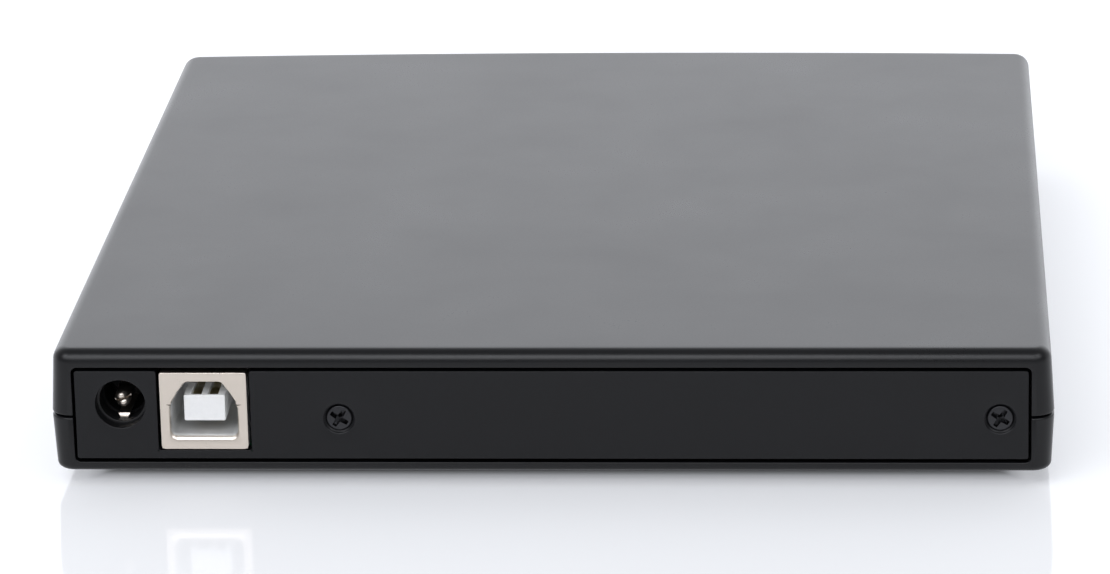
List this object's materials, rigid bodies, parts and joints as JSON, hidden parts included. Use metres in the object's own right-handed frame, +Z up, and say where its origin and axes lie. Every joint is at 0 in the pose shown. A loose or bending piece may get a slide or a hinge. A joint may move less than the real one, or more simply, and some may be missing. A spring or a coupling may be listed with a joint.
{
  "type": "external dvd drive",
  "caption": "Flat black desktop disc drive in a two-shell case: a telescoping tray with spindle and pickup opens at the front, data and power sockets sit in the rear panel.",
  "frame": {"origin": "middle of the footprint, on the surface that the feet stand on", "axes": "+Z up, +Y towards the sockets, the tray opens towards -Y, +X to the right seen from the tray end"},
  "size_m": [0.1376, 0.15, 0.02],
  "materials": {
    "case_plastic": "fine satin texture, black",
    "panel_plastic": "fine matt texture, black",
    "black_screw": "blackened steel",
    "foot_rubber": "matt black rubber",
    "nickel": "nickel-plated, warm",
    "white_plastic": "white moulding",
    "gold_contact": "gold flash",
    "jack_plastic": "black moulding",
    "circuit_board": "green solder mask",
    "chip_plastic": "black epoxy",
    "cream_plastic": "cream moulding",
    "sheet_steel": "zinc-plated sheet",
    "plated_screw": "bright zinc",
    "guide_plastic": "dark low-friction plastic",
    "rail_steel": "bright steel",
    "tray_plastic": "dark satin plastic",
    "bezel_plastic": "fine satin texture, black",
    "light_pipe": "clear, faintly green",
    "lamp": "pale resin",
    "ribbon": "white flat cable",
    "copper_coil": "enamelled copper",
    "lever_steel": "stamped steel",
    "spring_steel": "spring wire",
    "damper_rubber": "soft rubber",
    "rod_steel": "ground steel",
    "motor_can": "drawn steel",
    "magnet": "sintered magnet",
    "pad_rubber": "grippy rubber ring",
    "hub_plastic": "dark moulding",
    "pickup_metal": "die casting",
    "cover_black": "black sheet",
    "lens_glass": "coated lens"
  },
  "bodies": {
    "housing": {"top_cover": "case_plastic", "bottom_cover": "case_plastic", "rear_panel": "panel_plastic", "panel_screws": "black_screw", "rubber_feet": "foot_rubber", "data_socket_shell": "nickel", "data_socket_insulator": "white_plastic", "data_socket_contacts": "gold_contact", "jack_body": "jack_plastic", "jack_pin": "nickel", "jack_spring": "nickel", "bridge_board": "circuit_board", "bridge_chip": "chip_plastic", "bridge_socket": "cream_plastic", "bridge_screws": "plated_screw", "drive_chassis": "sheet_steel", "drive_lid": "sheet_steel", "left_guide": "guide_plastic", "right_guide": "guide_plastic", "connector_board": "circuit_board", "drive_connector": "chip_plastic", "ribbon_cable": "ribbon"},
    "left_rail": {"left_rail": "rail_steel"},
    "right_rail": {"right_rail": "rail_steel"},
    "tray": {"disc_tray": "tray_plastic", "tray_bezel": "bezel_plastic", "indicator_pipe": "light_pipe", "indicator_lamp": "lamp", "front_board": "circuit_board", "eject_switch": "chip_plastic", "main_board": "circuit_board", "main_chip": "chip_plastic", "ribbon_socket": "cream_plastic", "release_solenoid": "copper_coil", "eject_spring": "spring_steel", "traverse_base": "sheet_steel", "traverse_dampers": "damper_rubber", "traverse_screws": "plated_screw", "guide_rods": "rod_steel", "sled_motor": "motor_can", "motor_base": "sheet_steel", "motor_stator": "copper_coil"},
    "eject_button": {"eject_button": "bezel_plastic"},
    "latch": {"latch_lever": "lever_steel"},
    "plunger": {"eject_plunger": "white_plastic"},
    "drive_screw": {"drive_screw": "rod_steel"},
    "spindle": {"rotor_can": "motor_can", "rotor_magnet": "magnet", "spindle_shaft": "rod_steel", "turntable_pad": "pad_rubber", "chuck_hub": "hub_plastic"},
    "claw_1": {"chuck_claw_1": "hub_plastic"},
    "claw_2": {"chuck_claw_2": "hub_plastic"},
    "claw_3": {"chuck_claw_3": "hub_plastic"},
    "sled": {"pickup_body": "pickup_metal", "pickup_rack": "white_plastic", "actuator_magnets": "magnet", "actuator_cover": "cover_black"},
    "lens": {"lens_holder": "hub_plastic", "objective_lens": "lens_glass"}
  },
  "joints": [
    {"name": "tray_slide", "type": "slide", "parent": "housing", "child": "tray", "axis": [0, -1, 0], "range_m": [0, 0.126], "deforming": ["ribbon_cable"]},
    {"name": "left_rail_slide", "type": "slide", "parent": "housing", "child": "left_rail", "axis": [0, -1, 0], "range_m": [0, 0.063]},
    {"name": "right_rail_slide", "type": "slide", "parent": "housing", "child": "right_rail", "axis": [0, -1, 0], "range_m": [0, 0.063]},
    {"name": "eject_button_press", "type": "slide", "parent": "tray", "child": "eject_button", "axis": [0, 1, 0], "range_m": [0, 0.0006], "stiffness_N_per_m": 800},
    {"name": "latch_swing", "type": "hinge", "parent": "tray", "child": "latch", "pos_m": [0.038, -0.0675, 0.0065], "axis": [0, 0, 1], "range_deg": [0, 12]},
    {"name": "plunger_push", "type": "slide", "parent": "tray", "child": "plunger", "axis": [0, 1, 0], "range_m": [0, 0.008], "deforming": ["eject_spring"]},
    {"name": "spindle_spin", "type": "hinge", "parent": "tray", "child": "spindle", "pos_m": [0, -0.01005, 0.0129], "axis": [0, 0, 1], "continuous": true},
    {"name": "sled_slide", "type": "slide", "parent": "tray", "child": "sled", "axis": [-0.6691, -0.7431, 0], "range_m": [0, 0.035]},
    {"name": "screw_turn", "type": "hinge", "parent": "tray", "child": "drive_screw", "pos_m": [0.01338, -0.02209, 0.0078], "axis": [0.6691, 0.7431, 0], "range_deg": [0, 3150]},
    {"name": "lens_focus", "type": "slide", "parent": "sled", "child": "lens", "axis": [0, 0, 1], "range_m": [-0.0004, 0.0004], "stiffness_N_per_m": 100},
    {"name": "claw_1_press", "type": "slide", "parent": "spindle", "child": "claw_1", "axis": [-1, 0, 0], "range_m": [0, 0.0005], "stiffness_N_per_m": 600},
    {"name": "claw_2_press", "type": "slide", "parent": "spindle", "child": "claw_2", "axis": [0.5, -0.866, 0], "range_m": [0, 0.0005], "stiffness_N_per_m": 600},
    {"name": "claw_3_press", "type": "slide", "parent": "spindle", "child": "claw_3", "axis": [0.5, 0.866, 0], "range_m": [0, 0.0005], "stiffness_N_per_m": 600}
  ],
  "couplings": [
    {"joint": "left_rail_slide", "follows": "tray_slide", "ratio": 0.5},
    {"joint": "right_rail_slide", "follows": "tray_slide", "ratio": 0.5},
    {"joint": "plunger_push", "follows": "tray_slide", "ratio": 0.063},
    {"joint": "screw_turn", "follows": "sled_slide", "rad_per_m": 1570.8}
  ]
}
